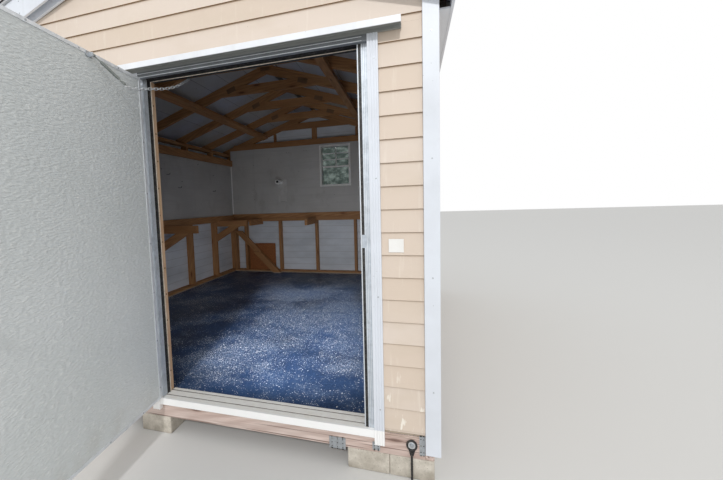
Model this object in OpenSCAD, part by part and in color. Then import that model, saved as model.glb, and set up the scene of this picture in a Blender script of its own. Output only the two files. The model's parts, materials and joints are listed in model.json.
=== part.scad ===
// Small gable storage building: a timber frame on blocks, lap siding, an open trussed roof
// and one wide door that swings outward, shown standing open.
// X runs along the front, Y from the front to the back, Z up. The origin is on the ground
// under the middle of the floor.

/* [Plan and heights] */
// Width of the timber frame across the front
frame_w = 3048; // [2900:1:3300]
// Depth of the timber frame from front to back
frame_d = 3658; // [3600:1:3900]
// Height of the wall frame from the floor to the top of its plate
wall_h = 1940; // [1920:1:1985]
// Rise of the roof for each millimetre of run
pitch = 0.3333; // [0.3:0.0001:0.42]
// Spacing of studs and trusses along the building
stud_pitch = 609.6; // [600:0.1:620]
// Reach of the roof past the side frames
eave_over = 100; // [70:1:160]
// Reach of the roof past the siding of the gable walls
rake_over = 70; // [50:1:120]

/* [Timber] */
// Thickness of the framing timber
stud_t = 38; // [34:1:44]
// Depth of the framing timber
stud_d = 89; // [84:1:96]
// Clear joint left between timbers that butt
butt = 0.3; // [0.2:0.1:0.5]
// Thickness of the floor deck
deck_t = 19; // [15:1:28]
// Thickness of the roof deck
roof_deck_t = 12; // [9:1:20]
// Height of the foundation blocks
block_h = 102; // [80:1:200]
// Depth of the notch that seats a rafter on the plate
seat = 8; // [6:1:24]
// Height of the collar ties' lower edge above the floor
tie_z = 2262; // [2230:1:2300]
// Height above the floor of the member across the gable
gable_z = 1993; // [1988:1:2010]
// Thickness of the wall linings
lining_t = 8; // [5:1:12]
// Height above the floor of the girts' lower edge
girt_low = 1745; // [1700:1:1760]
// Height of the girt boards
girt_h = 95; // [80:1:110]

/* [Siding and trim] */
// Overall thickness of the lap siding
siding_t = 12; // [10:1:16]
// Exposed height of one siding course
lap = 101.6; // [85:0.1:130]
// Height of the lowest lap line above the floor
lap_z = 27; // [14:1:60]
// How far each course stands out at its lower edge
lap_out = 8; // [4:1:8]
// Visible width of the corner trims
corner_w = 66; // [50:1:90]
// Thickness of the corner trims over the siding
corner_t = 15; // [8:1:20]
// How far the corner trims reach below the floor
corner_drop = 66; // [40:1:85]
// Width of the frieze board under the rake
frieze_w = 45; // [30:1:70]
// Thickness of frieze and fascia boards
board_t = 12; // [8:1:16]
// Height of the fascia boards
fascia_h = 126; // [118:1:150]
// Thickness of the soffit panels
soffit_t = 9; // [6:1:12]

/* [Doorway] */
// Distance of the doorway's right casing edge from the building's right side
door_side = 266; // [262:1:380]
// Clear width between the door casings
door_w = 1204; // [1000:1:1220]
// Height of the drip cap's underside above the floor
head_z = 1797; // [1780:1:1800]
// Width of the fluted casings
casing_w = 46; // [40:1:56]
// How far the casings stand out from the siding
casing_t = 12; // [8:1:16]
// How far the casings reach below the floor
casing_drop = 56; // [40:1:80]
// How far the hinge post shows inside the casing
hinge_post_in = 11; // [9:1:20]
// How far the strike post shows inside the casing
strike_post_in = 45; // [40:1:46]
// Thickness of the metal door frame
frame_t = 1.7; // [1.2:0.1:2.5]
// Width of the strip beside the latch casing that the leaf closes against
strike_lip = 35; // [25:1:45]
// How far the drip cap stands out from the siding
cap_out = 65; // [50:1:90]
// Height of the drip cap's front
cap_h = 29; // [20:1:40]
// How far the drip cap runs past each casing
cap_ext = 98; // [60:1:120]
// Height of the threshold over the floor
sill_h = 12; // [8:1:14]
// Width of the threshold from front to back
sill_w = 107; // [90:1:120]

/* [Door leaf] */
// Thickness of the door leaf
leaf_t = 25; // [20:1:32]
// Clearance round the closed leaf
leaf_gap = 6; // [5:1:8]
// Height of the leaf's lower edge above the floor
leaf_z0 = 27; // [20:1:40]
// Height of the leaf's upper edge above the floor
leaf_z1 = 1762; // [1700:1:1762]
// Width of the metal channel round the leaf
rim_w = 15; // [10:1:30]
// Thickness of the metal channel
rim_t = 2; // [1.2:0.1:2.5]
// Angle at which the door stands open
door_open = 84.4; // [40:0.1:95]
// Radius of the hinge knuckles
knuckle_r = 5; // [4:0.5:6]
// Height of one hinge
hinge_h = 90; // [60:1:120]
// Distance of the handle from the leaf's free edge
handle_in = 100; // [95:1:140]

/* [Window] */
// Middle of the window from the middle of the building
window_x = 327; // [310:1:335]
// Width of the window frame
window_w = 475; // [400:1:510]
// Height of the window frame
window_h = 622; // [500:1:636]
// Gap between the window frame's head and the member across the gable
window_drop = 23; // [12:1:60]
// Width of the window frame's bars
window_bar = 28; // [18:1:40]

/* [Bench remains] */
// Height of the side ledgers' upper edge above the floor
ledger_z = 945; // [930:1:960]
// Height of the bracket arms' upper edge above the floor
arm_z = 879; // [870:1:890]
// Reach of the side bracket arms from the studs
arm_len = 512; // [400:1:600]
// Height above the floor where a knee brace leaves its stud
knee_z = 560; // [480:1:620]
// Height above the floor of the back rail's lower edge
back_rail_low = 835; // [820:1:845]
// Height of the back rail
back_rail_h = 58; // [50:1:70]
// Height of the splash board on the back rail
splash_h = 64; // [40:1:80]
// Run of the diagonal brace across the back corner
brace_run = 680; // [600:1:720]
// Height above the floor of the pipe through the back wall's plate
pipe_z = 1444; // [1400:1:1460]
// Radius of the pipe
pipe_r = 35; // [28:1:40]
// Width of the plate round the pipe
cover_w = 146; // [130:1:170]
// Height of the plate round the pipe
cover_h = 346; // [300:1:380]
// Width of the hardboard sheet
hardboard_w = 464; // [400:1:500]
// Height of the hardboard sheet
hardboard_h = 430; // [380:1:480]

/* [Anchors] */
// Width of the perforated corner straps
strap_w = 25; // [20:1:30]
// Height of the corner straps
strap_h = 93; // [80:1:100]
// Width of the wide strap under the doorway
wide_strap_w = 81; // [60:1:100]
// Height of the wide strap
wide_strap_h = 58; // [50:1:70]
// Distance of the anchor bolts from the corner trims
bolt_in = 60; // [50:1:80]

/* [Hidden] */
$fn = 32;

half_w = frame_w / 2;
half_d = frame_d / 2;
floor_z = block_h + stud_d + deck_t;
deck_z = floor_z - deck_t;
plate_z = floor_z + wall_h;
slope = sqrt(1 + pitch * pitch);

// Height of the rafters' lower edge over a place on X, and of each layer above it
rafter_mid = plate_z - seat + half_w * pitch;
function low(x) = rafter_mid - abs(x) * pitch;
rafter_v = stud_d * slope;
deck_v = roof_deck_t * slope;
shingle_v = 9 * slope;

// Ends of the roof: rafter tails, deck edges and fascias
tail_x = half_w + eave_over - 2 * board_t;
eave_x = half_w + eave_over;
rake_y = half_d + siding_t + rake_over;
fascia_y = rake_y - 12;

// Faces and edges of the siding
face_y = -half_d - butt - siding_t;
corner_x = half_w + siding_t + corner_t;
corner_y = half_d + siding_t + corner_t;
skin_x = corner_x - corner_w - butt;
skin_y = corner_y - corner_w - butt;
skin_z = floor_z + 14;
brow_z = floor_z + head_z + cap_h;

// Faces inside the room: studs, then linings
stud_x = half_w - stud_d;
stud_y = half_d - stud_d;
inner_x = stud_x - butt;
room_x = stud_x - lining_t - 2 * butt;
room_y = stud_y - lining_t - 2 * butt;
sole_z = floor_z + stud_t + butt;
lining_z = floor_z + ledger_z - 75;
window_z = gable_z - window_drop - window_h;
girt_z = floor_z + girt_low;

// Doorway and hinge axis
door_r = half_w - door_side;
door_l = door_r - door_w;
hinge_post = door_l + hinge_post_in;
strike_post = door_r - strike_post_in;
header_z = floor_z + head_z - 7;
lip_y = -half_d - frame_t - butt;
leaf_x = leaf_gap / 2 + 2;
leaf_y = knuckle_r - 2;
hinge_x = door_l + leaf_gap / 2;
hinge_y = min(face_y - casing_t - leaf_gap - knuckle_r, lip_y - leaf_gap - leaf_t - leaf_y);
leaf_w = door_w - leaf_gap - leaf_gap / 2 - leaf_x;
leaf_low = floor_z + leaf_z0;
leaf_h = leaf_z1 - leaf_z0;

// Studs and trusses along the side walls, counted from the front
bays = round(frame_d / stud_pitch);
function stud_at(k) = -half_d
    + (k == 0 ? 0 : k == bays ? frame_d - stud_t : k * stud_pitch - stud_t / 2);

wood = "#A8743F";
cream = "#E9DAC8";
white = "#EEF2FA";
metal = "#A9AFB5";
panel = "#C9CBC9";
treated = "#B9A79C";

module board(at, size) {
    translate(at) cube(size);
}

// A level member along Y, drawn as an outline in X and Z
module along_y(y0, y1) {
    translate([0, y1, 0]) rotate([90, 0, 0]) linear_extrude(height = y1 - y0) children();
}

// A level member along X, drawn as an outline in Y and Z
module along_x(x0, x1) {
    translate([x0, 0, 0]) rotate([90, 0, 90]) linear_extrude(height = x1 - x0) children();
}

// The same pieces on the left and on the right
module both_sides() {
    children();
    mirror([1, 0, 0]) children();
}

// The same pieces at the front and at the back
module both_ends() {
    children();
    mirror([0, 1, 0]) children();
}

// A band along the right slope, v high, dz over the rafters' lower edge
module slope_band(x0, x1, dz, v) {
    polygon([[x0, low(x0) + dz], [x1, low(x1) + dz], [x1, low(x1) + dz + v], [x0, low(x0) + dz + v]]);
}

// A level member in the roof's plane, its ends cut along the rafters' lower edges
module sloped_ends(z, height) {
    reach = (rafter_mid - z - butt) / pitch;
    polygon([[-reach, z], [reach, z], [reach - height / pitch, z + height],
        [height / pitch - reach, z + height]]);
}

// Section of lap siding, outwards from the frame and up: each course stands out at its foot
module lap_section(z0, z1) {
    base = floor_z + lap_z;
    first = floor((z0 - base) / lap);
    last = ceil((z1 - base) / lap);
    intersection() {
        polygon([[0, base + first * lap],
            each [for (k = [first:last]) each [
                [siding_t, base + k * lap], [siding_t - lap_out, base + (k + 1) * lap]]],
            [0, base + (last + 1) * lap]]);
        translate([0, z0]) square([siding_t, z1 - z0]);
    }
}

module front_siding(x0, x1, z0, z1) {
    along_x(x0, x1) translate([-half_d - butt, 0]) mirror([1, 0]) lap_section(z0, z1);
}

// Outline of a gable from a base height up to the rafters' lower edge less a gap
module gable_outline(x, z0, gap) {
    polygon([[-x, z0], [x, z0], [x, low(x) - gap], [0, low(0) - gap], [-x, low(x) - gap]]);
}

// Foundation and floor

block_w = 200;
function joist_y(k) = -half_d + k * (frame_d - stud_t) / bays;

module foundation_blocks() {
    size = [block_w - 2 * butt, block_w, block_h - butt];
    color("#CFC8BE") {
        both_sides() both_ends() for (k = [1, 2])
            board([half_w - k * block_w + butt, half_d - block_w, 0], size);
        for (x = [-half_w, -block_w / 2, half_w - block_w])
            board([x + butt, joist_y(floor(bays / 2)) + (stud_t - block_w) / 2, 0], size);
        both_ends() board([butt - block_w / 2, half_d - block_w, 0], size);
    }
}

module floor_frame() {
    color(treated) {
        both_sides() board([half_w - stud_t, -half_d, block_h], [stud_t, frame_d, stud_d - butt]);
        for (k = [0:bays])
            board([-half_w + stud_t + butt, joist_y(k), block_h],
                [frame_w - 2 * stud_t - 2 * butt, stud_t, stud_d - butt]);
    }
}

module floor_deck() {
    color("#1E2F4F") board([-half_w, -half_d, deck_z], [frame_w, frame_d, deck_t]);
}

// Wall skins

module front_wall_left() {
    color(cream) front_siding(-skin_x, door_l - casing_w - butt, skin_z, brow_z - butt);
}

module front_wall_right() {
    color(cream) front_siding(door_r + casing_w + butt, skin_x, skin_z, brow_z - butt);
}

module front_gable() {
    color(cream) intersection() {
        front_siding(-skin_x, skin_x, brow_z, low(0));
        along_y(-half_d - 2 * siding_t, -half_d) gable_outline(skin_x, brow_z, 2 * butt);
    }
}

module back_wall() {
    color(cream) difference() {
        intersection() {
            mirror([0, 1, 0]) front_siding(-skin_x, skin_x, skin_z, low(0));
            along_y(half_d, half_d + 2 * siding_t) gable_outline(skin_x, skin_z, 2 * butt);
        }
        window_hole();
    }
}

module side_siding() {
    top = low(half_w + siding_t + butt) - butt;
    along_y(-skin_y, skin_y) translate([half_w + butt, 0]) lap_section(skin_z, top);
}

module left_wall() {
    color(cream) mirror([1, 0, 0]) side_siding();
}

module right_wall() {
    color(cream) side_siding();
}

// Wall frames

// A plate on the floor, one under the rafters and studs between, on the right side
module side_frame() {
    for (z = [floor_z, plate_z - stud_t]) board([stud_x, -half_d, z], [stud_d, frame_d, stud_t]);
    for (k = [0:bays])
        board([stud_x, stud_at(k), sole_z], [stud_d, stud_t, plate_z - stud_t - butt - sole_z]);
}

module left_wall_frame() {
    color(wood) mirror([1, 0, 0]) side_frame();
}

module right_wall_frame() {
    color(wood) side_frame();
}

// Rafter on the right slope, notched over the plate, with a plumb-cut tail
module rafter() {
    polygon([[butt, low(butt)], [(rafter_mid - plate_z - butt) / pitch, plate_z + butt],
        [half_w + butt, plate_z + butt], [half_w + butt, low(half_w + butt)], [tail_x, low(tail_x)],
        [tail_x, low(tail_x) + rafter_v], [butt, low(butt) + rafter_v]]);
}

// Upright of a gable wall that ends under the rafters
module gable_stud(x, y0, z0, d = stud_d) {
    top = low(max(abs(x), abs(x + stud_t))) - butt;
    board([x, y0, z0], [stud_t, d, top - z0]);
}

module back_wall_frame() {
    z = floor_z + gable_z;
    over = z + stud_d + butt;
    sill_z = floor_z + window_z - stud_t - butt;
    reach = min(inner_x, (rafter_mid + rafter_v - z - stud_d) / pitch - 2);
    color(wood) {
        board([-inner_x, stud_y, floor_z], [2 * inner_x, stud_d, stud_t]);
        for (k = [-2:2])
            board([k * stud_pitch - stud_t / 2, stud_y, sole_z], [stud_t, stud_d, z - sole_z - butt]);
        both_sides() board([inner_x - stud_t, stud_y, sole_z], [stud_t, stud_d, plate_z - sole_z]);
        // Member across the gable: an inner board and an outer one between the rafters
        along_y(stud_y, stud_y + stud_t)
            polygon([[-inner_x, z], [inner_x, z], [reach, z + stud_d], [-reach, z + stud_d]]);
        along_y(half_d - stud_t, half_d) {
            sloped_ends(z, stud_d);
            sloped_ends(floor_z + tie_z, stud_d);
            both_sides() rafter();
        }
        // Gable studs, doubled at the middle
        board([-stud_t, half_d - stud_t, over], [2 * stud_t, stud_t, floor_z + tie_z - butt - over]);
        both_sides() gable_stud(655 - stud_t / 2, half_d - stud_t, over, stud_t);
        board([stud_t / 2 + butt, stud_y, sill_z], [stud_pitch - stud_t - 2 * butt, stud_d, stud_t]);
    }
}

module front_wall_frame() {
    king_l = hinge_post - 2 * stud_t - butt;
    king_r = strike_post + stud_t + butt;
    color(wood) {
        board([-inner_x, -half_d, floor_z], [king_l + stud_t + inner_x, stud_d, stud_t]);
        board([king_r, -half_d, floor_z], [inner_x - king_r, stud_d, stud_t]);
        // Posts beside the doorway and the header on them
        for (x = [hinge_post - stud_t, strike_post])
            board([x, -half_d, floor_z], [stud_t, stud_d, header_z - floor_z - butt]);
        board([hinge_post - stud_t, -half_d, header_z],
            [strike_post - hinge_post + 2 * stud_t, stud_d, stud_d]);
        // Studs up to the end rafters, and short ones over the header
        for (x = [-inner_x, -2 * stud_pitch, -stud_pitch, king_l, king_r, inner_x - stud_t])
            gable_stud(x, -half_d, sole_z);
        for (share = [0.25, 0.75])
            gable_stud(king_l + share * (king_r - king_l), -half_d, header_z + stud_d + butt);
        along_y(-half_d, stud_t - half_d) both_sides() rafter();
    }
}

module trusses() {
    color(wood) for (k = [1:bays - 1])
        along_y(stud_at(k), stud_at(k) + stud_t) {
            sloped_ends(floor_z + tie_z, stud_d);
            both_sides() rafter();
        }
}

// Flat boards under the rafters, from the front frame to the back one
module roof_runners() {
    x = 750;
    color(wood) both_sides() along_y(butt - stud_y, stud_y - butt)
        slope_band(x, x + stud_d / slope, -stud_t * slope - butt, stud_t * slope);
}

module side_girts() {
    color(wood) both_sides()
        board([inner_x - stud_t, butt - stud_y, girt_z], [stud_t, stud_y + room_y - 2 * butt, girt_h]);
}

// Linings, sheets laid lengthwise with a joint where the next one starts

sheet_l = 2440;

module side_linings() {
    y0 = -stud_y + butt;
    height = girt_z - butt - lining_z;
    color(panel) both_sides() {
        board([room_x + butt, y0, lining_z], [lining_t, sheet_l, height]);
        board([room_x + butt, y0 + sheet_l + 2, lining_z], [lining_t, room_y - y0 - sheet_l - 2, height]);
    }
}

module back_lining() {
    height = floor_z + gable_z - butt - lining_z;
    color(panel) difference() {
        union() {
            board([room_x - sheet_l, room_y + butt, lining_z], [sheet_l, lining_t, height]);
            board([-room_x, room_y + butt, lining_z], [2 * room_x - sheet_l - 2, lining_t, height]);
        }
        window_hole();
    }
}

// Roof

slot_w = 70;

module roof_deck() {
    color(panel) both_sides() along_y(-rake_y, rake_y)
        slope_band(slot_w / 2, eave_x, rafter_v + butt, deck_v);
}

module shingles() {
    color("#6E6A64") both_sides() along_y(-rake_y - 6, rake_y + 6)
        slope_band(slot_w / 2, eave_x + 10, rafter_v + deck_v + 2 * butt, shingle_v);
}

// Cap bent over the ridge slot
module ridge_cap() {
    dz = rafter_v + deck_v + shingle_v + 3 * butt;
    v = 6 * slope;
    x = 150;
    color("#5F5B56") along_y(-rake_y - 6, rake_y + 6)
        polygon([[-x, low(x) + dz], [0, low(0) + dz], [x, low(x) + dz],
            [x, low(x) + dz + v], [0, low(0) + dz + v], [-x, low(x) + dz + v]]);
}

// Fascia, soffit and frieze of both gables
module rake_trims() {
    v = fascia_h * slope;
    color(white) both_ends() both_sides() {
        along_y(-fascia_y, board_t - fascia_y) slope_band(butt, tail_x - butt, rafter_v - v, v);
        along_y(board_t - fascia_y + butt, -half_d - butt)
            slope_band(butt, tail_x - butt, 0, soffit_t * slope);
        along_y(face_y - butt - board_t, face_y - butt)
            slope_band(butt, skin_x, -frieze_w * slope - butt, frieze_w * slope);
    }
}

module eave_trims() {
    z = low(tail_x + board_t + butt) + rafter_v - fascia_h;
    soffit_x = half_w + siding_t + 2 * butt;
    color(white) both_sides() {
        board([tail_x + butt, -fascia_y, z], [board_t, 2 * fascia_y, fascia_h]);
        board([soffit_x, -skin_y, z], [tail_x - soffit_x, 2 * skin_y, soffit_t]);
    }
}

module corner_trims() {
    z0 = floor_z - corner_drop;
    x1 = corner_x - corner_w;
    y1 = corner_y - corner_w;
    color(white) both_ends() both_sides() translate([0, 0, z0])
        linear_extrude(height = low(corner_x) - butt - z0)
            polygon([[corner_x, -corner_y], [corner_x, -y1], [half_w + butt, -y1],
                [half_w + butt, -half_d - butt], [x1, -half_d - butt], [x1, -corner_y]]);
}

// Doorway

// Metal lips on the posts and the head, with the strike plate on the right one
module door_frame() {
    depth = 56;
    head_low = floor_z + leaf_z1 + leaf_gap;
    z0 = floor_z + sill_h + butt;
    color(metal) {
        translate([0, lip_y, z0]) linear_extrude(height = header_z - butt - z0) {
            translate([hinge_post + butt - 8, 0]) square([8 + frame_t, frame_t]);
            translate([hinge_post + butt, 0]) square([frame_t, depth]);
            translate([strike_post - butt - frame_t, 0]) square([frame_t, depth]);
            translate([door_r - butt - strike_lip, 0]) square([strike_lip, frame_t]);
        }
        board([hinge_post + frame_t + 2 * butt, lip_y, header_z - frame_t - butt],
            [strike_post - hinge_post - 2 * frame_t - 4 * butt, depth, frame_t]);
        board([door_l + butt, face_y - casing_t, head_low],
            [door_w - 2 * butt, lip_y - face_y + casing_t - butt, floor_z + head_z - butt - head_low]);
        board([strike_post + 4, lip_y - 1, floor_z + 870], [18, frame_t + 1, 60]);
    }
}

// Fluted casings and the sill strip between them
module door_casings() {
    z0 = floor_z - casing_drop;
    z1 = floor_z + sill_h + 1;
    color(white) {
        for (x = [door_l - casing_w, door_r])
            translate([x, face_y - casing_t, z0]) linear_extrude(height = floor_z + head_z - butt - z0)
                difference() {
                    square([casing_w, siding_t + casing_t]);
                    for (k = [1:3]) translate([k * casing_w / 4, -2]) circle(r = 4);
                }
        along_x(door_l + butt, door_r - butt)
            polygon([[face_y - 8, floor_z - 25], [-half_d - butt, floor_z - 25],
                [-half_d - butt, floor_z - butt], [face_y + 3, floor_z - butt], [face_y + 3, z1], [face_y - 8, z1]]);
    }
}

// Drip cap over the doorway, sloped on top, hollow below
module drip_cap() {
    z = floor_z + head_z;
    x0 = door_l - casing_w;
    x1 = door_r + casing_w;
    front = face_y - cap_out;
    color(white) {
        along_x(x0 - cap_ext, x1 + cap_ext)
            polygon([[front, z], [front + 6, z], [front + 6, z + 16], [face_y - casing_t, z + 16],
                [face_y - casing_t, z], [face_y - butt, z], [face_y - butt, z + cap_h + 6], [front, z + cap_h]]);
        board([x0, face_y - 1, z], [x1 - x0, siding_t + 1, cap_h - butt]);
    }
}

// Threshold between the posts, with two grooves and a nosing in front
module threshold() {
    y0 = face_y + 3 + butt;
    color(metal) {
        along_x(hinge_post + butt, strike_post - butt) difference() {
            translate([y0, floor_z]) square([sill_w, sill_h]);
            for (y = [0.3 * sill_w, 0.77 * sill_w]) translate([y0 + y, floor_z + sill_h]) circle(r = 4);
        }
        board([door_l + butt, y0, floor_z], [door_w - 2 * butt, -half_d - butt - y0, sill_h]);
    }
}

// Door leaf, drawn closed with its hinge axis at the origin, then swung open

module on_door() {
    translate([hinge_x, hinge_y, 0]) rotate([0, 0, -door_open]) children();
}

module door_leaf() {
    edge = rim_t + butt;
    color("#A9ADAA") on_door()
        board([leaf_x + edge, leaf_y + edge, leaf_low + edge],
            [leaf_w - 2 * edge, leaf_t - 2 * edge, leaf_h - 2 * edge]);
}

// Channel folded round the leaf's four edges
module door_channel() {
    color(metal) on_door() difference() {
        board([leaf_x, leaf_y, leaf_low], [leaf_w, leaf_t, leaf_h]);
        board([leaf_x + rim_t, leaf_y + rim_t, leaf_low + rim_t],
            [leaf_w - 2 * rim_t, leaf_t - 2 * rim_t, leaf_h - 2 * rim_t]);
        board([leaf_x + rim_w, leaf_y - 1, leaf_low + rim_w],
            [leaf_w - 2 * rim_w, leaf_t + 2, leaf_h - 2 * rim_w]);
    }
}

hinge_zs = [leaf_low + 180, leaf_low + leaf_h / 2, leaf_low + leaf_h - 180];

// Moving part of each hinge: the middle knuckle and its plate on the leaf
module door_hinges() {
    height = hinge_h / 3 - 2 * butt;
    color(metal) on_door() for (z = hinge_zs) translate([0, 0, z - height / 2]) {
        difference() {
            cylinder(r = knuckle_r, h = height);
            translate([0, 0, -1]) cylinder(r = knuckle_r / 2 + 0.2, h = height + 2);
        }
        board([knuckle_r - 1, leaf_y - 2 - butt, 0], [40, 2, height]);
    }
}

// Fixed part of each hinge: the outer knuckles, the pin and a plate on the casing
module hinge_plates() {
    plate_y = face_y - casing_t - 2 - butt;
    plate_x = door_l - casing_w + 6;
    color(metal) for (z = hinge_zs) translate([0, 0, z - hinge_h / 2]) {
        translate([hinge_x, hinge_y, 0]) cylinder(r = knuckle_r / 2, h = hinge_h);
        for (z0 = [0, hinge_h * 2 / 3]) {
            translate([hinge_x, hinge_y, z0]) cylinder(r = knuckle_r, h = hinge_h / 3);
            board([hinge_x - knuckle_r, hinge_y, z0], [2, plate_y + 2 - hinge_y, hinge_h / 3]);
        }
        board([plate_x, plate_y, 0], [hinge_x - knuckle_r + 1 - plate_x, 2, hinge_h]);
    }
}

// Round knobs on both faces near the free edge
module door_latch() {
    color(metal) on_door()
        translate([leaf_x + leaf_w - handle_in, leaf_y + leaf_t / 2, floor_z + 900])
            for (side = [-1, 1]) rotate([side * 90, 0, 0]) translate([0, 0, leaf_t / 2 - rim_t])
                rotate_extrude() polygon([[0, 0], [32, 0], [32, 4], [12, 8], [10, 22], [22, 30],
                    [26, 42], [20, 54], [0, 58]]);
}

// Door stay: a bracket on the leaf's upper edge and a rod and slack chain to the header

stay_on_leaf = [328, leaf_y + leaf_t + butt, leaf_low + leaf_h - 26];
stay_r = 4;

module stay_bracket() {
    color(metal) on_door() translate(stay_on_leaf) {
        board([-20, 0, 0], [40, 2, 22]);
        board([-2, 0, 2], [4, 18, 18]);
    }
}

// Where a point on the closed leaf lies while the door stands open
function swung(p) = [hinge_x + p[0] * cos(door_open) + p[1] * sin(door_open),
    hinge_y - p[0] * sin(door_open) + p[1] * cos(door_open), p[2]];

stay_start = swung(stay_on_leaf + [-3 - stay_r, 13, 11]);
stay_end = [hinge_post + 220, butt + 8 - stud_y, header_z - 16];
// Share of the way from the leaf to the header, and how far the stay hangs below the line
stay_sag = [[0, 0], [0.22, 90], [0.3, 110], [0.54, 93], [0.7, 77], [1, 0]];
stay_path = [for (s = stay_sag) stay_start + s[0] * (stay_end - stay_start) - [0, 0, s[1]]];

// An eight-sided length from a to b that runs a little past both
module link(a, b, r) {
    d = b - a;
    translate(a) rotate([0, acos(d[2] / norm(d)), atan2(d[1], d[0])])
        translate([0, 0, -1]) cylinder(r = r, h = norm(d) + 2, $fn = 8);
}

module door_stay() {
    color(metal) {
        for (k = [0:len(stay_path) - 2]) link(stay_path[k], stay_path[k + 1], stay_r);
        board(stay_end - [12, 8, 6], [24, 5, 38]);
    }
}

// Window in the back wall

window_l = window_x - window_w / 2;
window_low = floor_z + window_z;
window_y0 = room_y - 6;
window_y1 = half_d + siding_t + 8;
rail_z = window_low + window_h * 0.46;

module window_hole() {
    board([window_l - butt, window_y0 - 20, window_low - butt],
        [window_w + 2 * butt, window_y1 - window_y0 + 40, window_h + 2 * butt]);
}

module window_frame() {
    depth = window_y1 - window_y0;
    color(white) {
        difference() {
            board([window_l, window_y0, window_low], [window_w, depth, window_h]);
            board([window_l + window_bar, window_y0 - 1, window_low + window_bar],
                [window_w - 2 * window_bar, depth + 2, window_h - 2 * window_bar]);
        }
        board([window_l + window_bar - 1, half_d - 20, rail_z],
            [window_w - 2 * window_bar + 2, 24, window_bar]);
    }
}

// Lower pane inside, upper pane outside
module window_glass() {
    gap = window_bar + butt;
    top = window_low + window_h - gap;
    color([0.75, 0.85, 0.9, 0.5]) {
        board([window_l + gap, half_d - 14, window_low + gap],
            [window_w - 2 * gap, 4, rail_z - butt - window_low - gap]);
        board([window_l + gap, half_d - 4, rail_z + gap], [window_w - 2 * gap, 4, top - rail_z - gap]);
    }
}

// What is left of the work bench: ledgers along the walls, bracket arms and braces

back_rail_z = floor_z + back_rail_low;
side_rail_z = floor_z + ledger_z - stud_d;

module bench_ledgers() {
    x = room_x - butt;
    color(wood) {
        board([-x, room_y - stud_t, back_rail_z], [2 * x, stud_t, back_rail_h]);
        board([-x, room_y - stud_t / 2, back_rail_z + back_rail_h + butt], [2 * x, stud_t / 2, splash_h]);
        both_sides() board([room_x - stud_t, butt - stud_y, side_rail_z],
            [stud_t, stud_y + room_y - stud_t - 2 * butt, stud_d]);
    }
}

// Bracket arm from the stud's face out into the room, notched under its ledger
module arm_section(rail_z, reach) {
    z1 = floor_z + arm_z;
    notch = lining_t + stud_t + 3 * butt;
    polygon([[butt, z1 - stud_d], [reach, z1 - stud_d], [reach, z1], [notch, z1],
        [notch, rail_z - butt], [butt, rail_z - butt]]);
}

// Knee brace at 30 degrees, cut plumb at the stud and level under the arm
module knee_section() {
    z0 = floor_z + knee_z;
    z1 = floor_z + arm_z - stud_d - butt;
    reach = (z1 - z0) / tan(30);
    polygon([[butt, z0], [reach, z1], [reach - stud_d / sin(30), z1], [butt, z0 + stud_d / cos(30)]]);
}

module bench_brackets() {
    color(wood) {
        for (k = [1:2:bays - 1])
            along_y(stud_at(k), stud_at(k) + stud_t) translate([-stud_x, 0]) {
                arm_section(side_rail_z, arm_len);
                knee_section();
            }
        for (arm = [[-stud_t / 2, 530], [-1.53 * stud_pitch, 430]])
            along_x(arm[0], arm[0] + stud_t) translate([stud_y, 0]) mirror([1, 0])
                arm_section(back_rail_z, arm[1]);
    }
}

// Doubled diagonal brace across the left corner of the back wall
module corner_brace() {
    w = stud_d * sqrt(2);
    run = brace_run;
    x = run + stud_t - inner_x;
    y = stud_y - stud_t - butt;
    color(wood) {
        along_y(y, y + stud_t)
            polygon([[x - run, floor_z + run], [x, floor_z], [x + w, floor_z], [x + w - run, floor_z + run]]);
        along_y(y - stud_t - butt, y - butt)
            polygon([[x - run / 2, floor_z + run / 2], [x, floor_z], [x + w, floor_z],
                [x + w - run / 2, floor_z + run / 2]]);
    }
}

// Thin cover plate on the back wall with a pipe stub through it
module wall_fixture() {
    pipe = [-0.905 * stud_pitch, room_y - 9, floor_z + pipe_z];
    above = pipe_r * 1.2;
    color(white) {
        board(pipe - [pipe_r * 1.4, 1, cover_h - above], [cover_w, 10, cover_h]);
        difference() {
            translate(pipe) rotate([90, 0, 0]) cylinder(r = pipe_r, h = pipe_r * 4.57);
            translate(pipe - [0, pipe_r, 0]) rotate([90, 0, 0]) cylinder(r = pipe_r * 0.63, h = pipe_r * 4.57);
        }
    }
}

// Sheet standing on the sole plate between two studs
module hardboard_panel() {
    color("#9A5F38") board([40 - 2 * stud_pitch, half_d - 45, sole_z], [hardboard_w, 6, hardboard_h]);
}

// Small plate on the siding beside the door, its lower edge on the face of a course
module blank_plate() {
    z = 852;
    set_back = lap_out * ((z - lap_z) % lap) / lap;
    color("#E4E2DC") board([door_r + 78, face_y + set_back - 3 - butt, floor_z + z], [65, 3, 60]);
}

// Anchors at the corners

bolt = [corner_x - corner_w - bolt_in, -half_d - butt, floor_z - 40];

// Galvanised straps on the rim, and a washer and bolt at each corner
module tie_straps() {
    y = bolt[1] - 2;
    color(metal) both_ends() {
        both_sides() {
            board([corner_x - corner_w - 1 - strap_w, y, floor_z + 6 - strap_h], [strap_w, 2, strap_h]);
            translate(bolt) rotate([90, 0, 0]) {
                cylinder(r = 20, h = 3);
                cylinder(r = 10, h = 12, $fn = 6);
            }
        }
        board([door_r - 143 - wide_strap_w, y, block_h + 45 - wide_strap_h], [wide_strap_w, 2, wide_strap_h]);
        board([door_r - 13, y, floor_z - 96], [36, 2, 96 - casing_drop - 1]);
    }
}

// Cable from each corner bolt down to the ground
module anchor_cables() {
    ring = 15;
    cable_r = 4;
    color("#222222") both_ends() both_sides() translate(bolt - [0, 3 + cable_r + butt, 0]) {
        rotate([90, 0, 0]) rotate_extrude() translate([ring, 0]) circle(r = cable_r);
        translate([0, 0, -bolt[2]]) cylinder(r = cable_r, h = bolt[2] - ring);
    }
}

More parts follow.
